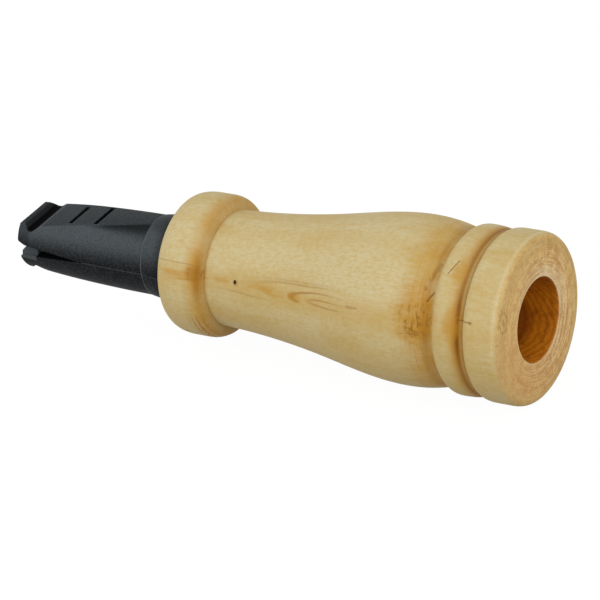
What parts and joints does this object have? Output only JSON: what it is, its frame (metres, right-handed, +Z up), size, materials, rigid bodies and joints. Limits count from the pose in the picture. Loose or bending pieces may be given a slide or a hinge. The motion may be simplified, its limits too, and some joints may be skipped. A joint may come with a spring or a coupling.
{
  "type": "bird call",
  "caption": "Bird call with a turned wooden barrel, a ringed bell and a black bite mouthpiece whose sprung jaws close over a clamped reed.",
  "frame": {"origin": "centre of the bell bore's mouth, on the bell face", "axes": "+X along the call's axis, out of the bell; -X towards the mouthpiece; +Z up, square to the mouthpiece's parting plane"},
  "size_m": [0.1123, 0.0326, 0.0326],
  "materials": {
    "turned_wood": "turned, sanded and thinly oiled pale wood",
    "black_plastic": "finely textured moulding",
    "reed_film": "smoke grey film"
  },
  "bodies": {
    "barrel": {"barrel": "turned_wood"},
    "mouthpiece": {"upper_spigot_half": "black_plastic", "lower_spigot_half": "black_plastic", "reed_tail": "reed_film"},
    "upper_jaw": {"upper_bite_jaw": "black_plastic"},
    "lower_jaw": {"lower_bite_jaw": "black_plastic"},
    "reed_tongue": {"reed_tongue": "reed_film"}
  },
  "joints": [
    {"name": "mouthpiece_pull", "type": "slide", "parent": "barrel", "child": "mouthpiece", "axis": [-1, 0, 0], "range_m": [0, 0.018]},
    {"name": "upper_jaw_bite", "type": "hinge", "parent": "mouthpiece", "child": "upper_jaw", "pos_m": [-0.096, 0, 0], "axis": [0, -1, 0], "range_deg": [0, 0.9], "stiffness_Nm_per_rad": 0.25},
    {"name": "lower_jaw_bite", "type": "hinge", "parent": "mouthpiece", "child": "lower_jaw", "pos_m": [-0.096, 0, 0], "axis": [0, 1, 0], "range_deg": [0, 0.9], "stiffness_Nm_per_rad": 0.25},
    {"name": "reed_beat", "type": "hinge", "parent": "mouthpiece", "child": "reed_tongue", "pos_m": [-0.096, 0, 0], "axis": [0, 1, 0], "range_deg": [-4, 4], "stiffness_Nm_per_rad": 0.01}
  ],
  "couplings": [
    {"joint": "lower_jaw_bite", "follows": "upper_jaw_bite", "ratio": 1}
  ]
}
